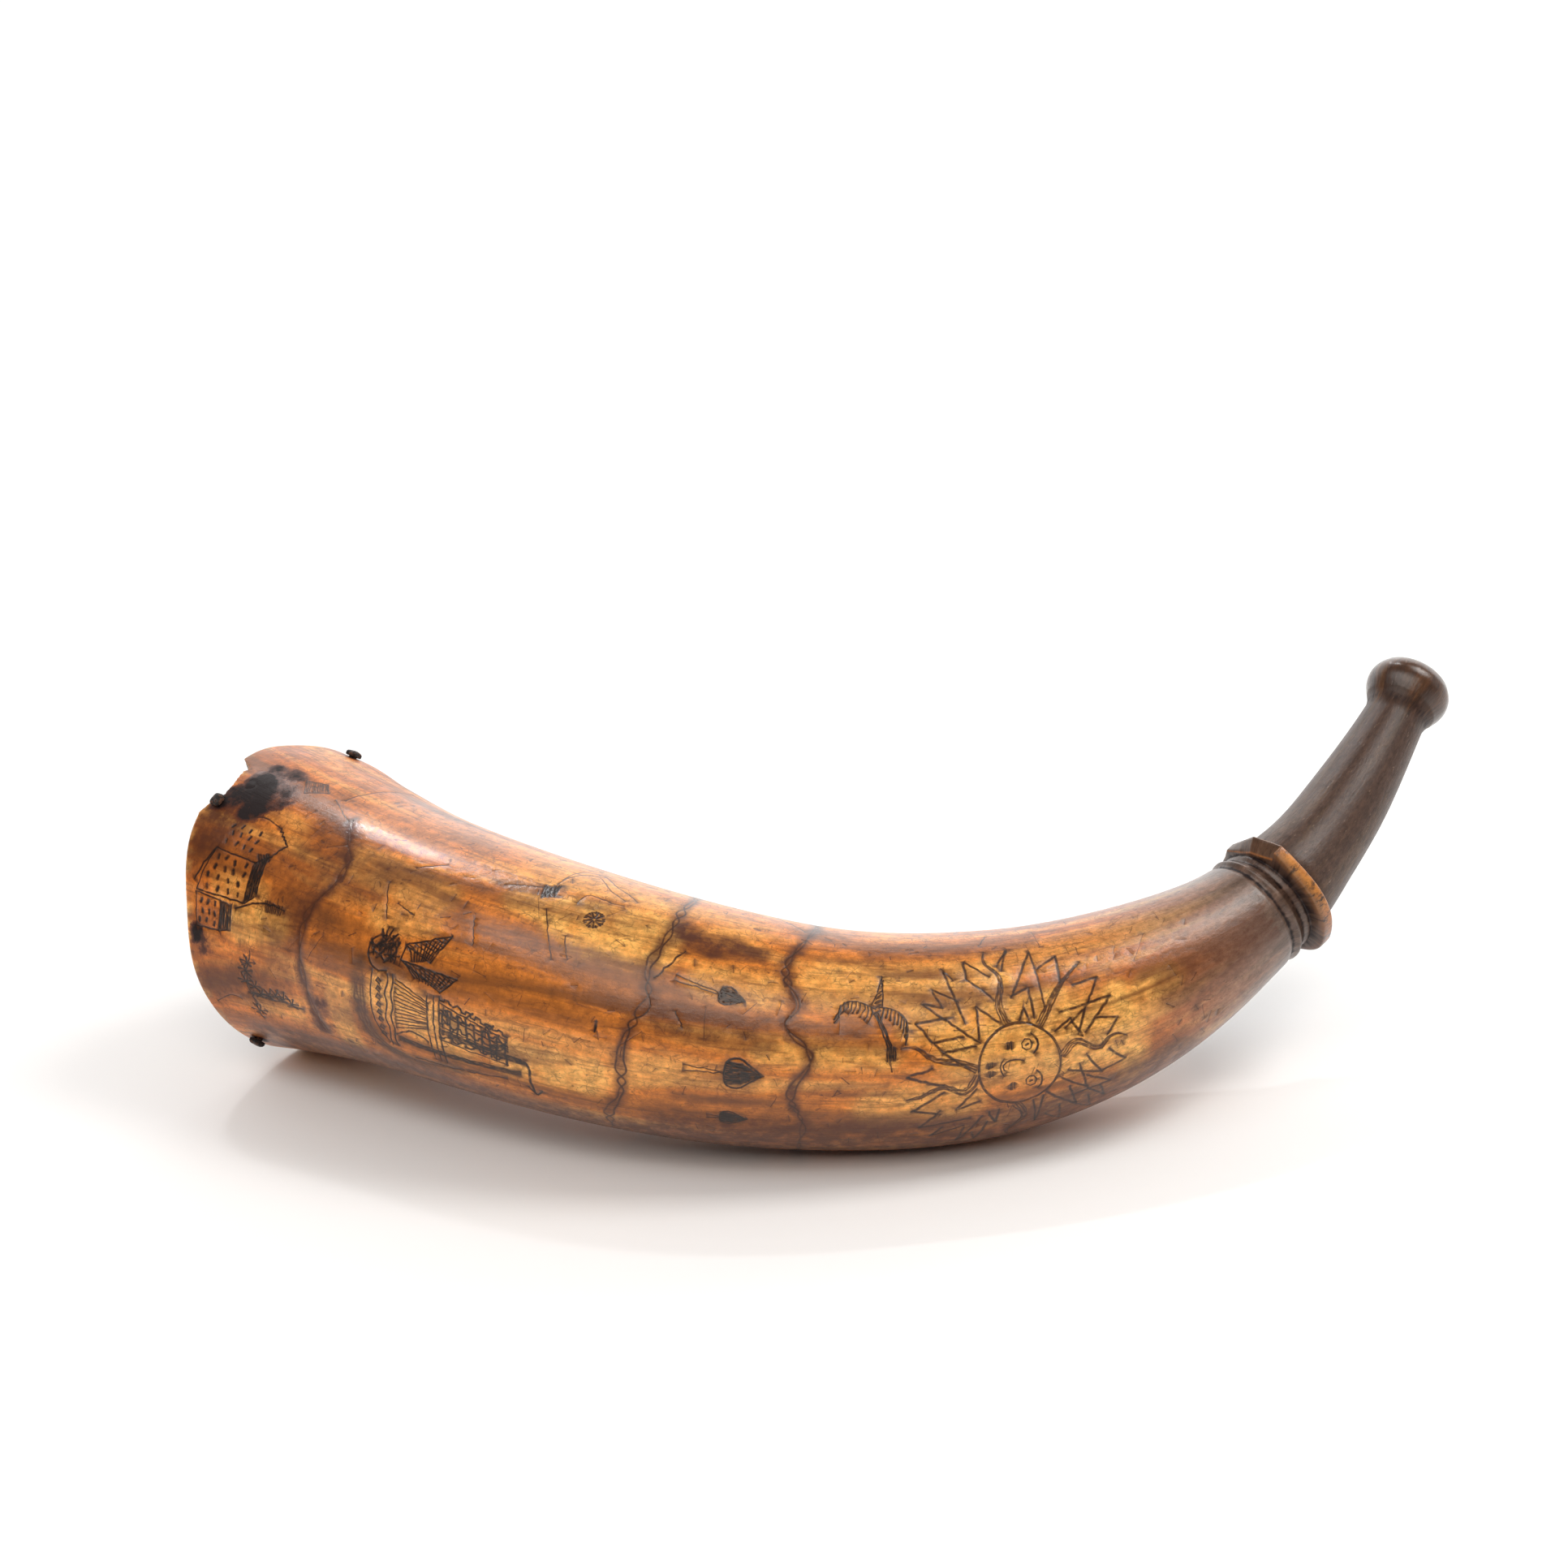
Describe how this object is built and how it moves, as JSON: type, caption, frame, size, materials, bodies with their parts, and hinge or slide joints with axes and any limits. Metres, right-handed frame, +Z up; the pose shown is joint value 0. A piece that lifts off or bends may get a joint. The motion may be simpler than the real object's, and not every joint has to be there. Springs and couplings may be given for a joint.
{
  "type": "powder horn",
  "caption": "Curved powder horn with a sawn butt closed by a wooden plug, a faceted strap collar, a slim neck and a knobbed spout, lying on its side.",
  "frame": {"origin": "under the middle of the horn's bounding box, on the surface it lies on", "axes": "+X from the butt towards the spout, the longest way; +Y away from the viewer, on the side the horn bends towards; +Z up, the shortest way"},
  "size_m": [0.3164, 0.1362, 0.0845],
  "materials": {
    "horn": "satin",
    "wood": "matte",
    "iron": "matte"
  },
  "bodies": {
    "root": {"horn": "horn", "base_plug": "wood", "iron_nail_1": "iron", "iron_nail_2": "iron", "iron_nail_3": "iron", "iron_nail_4": "iron", "iron_nail_5": "iron"}
  },
  "joints": []
}
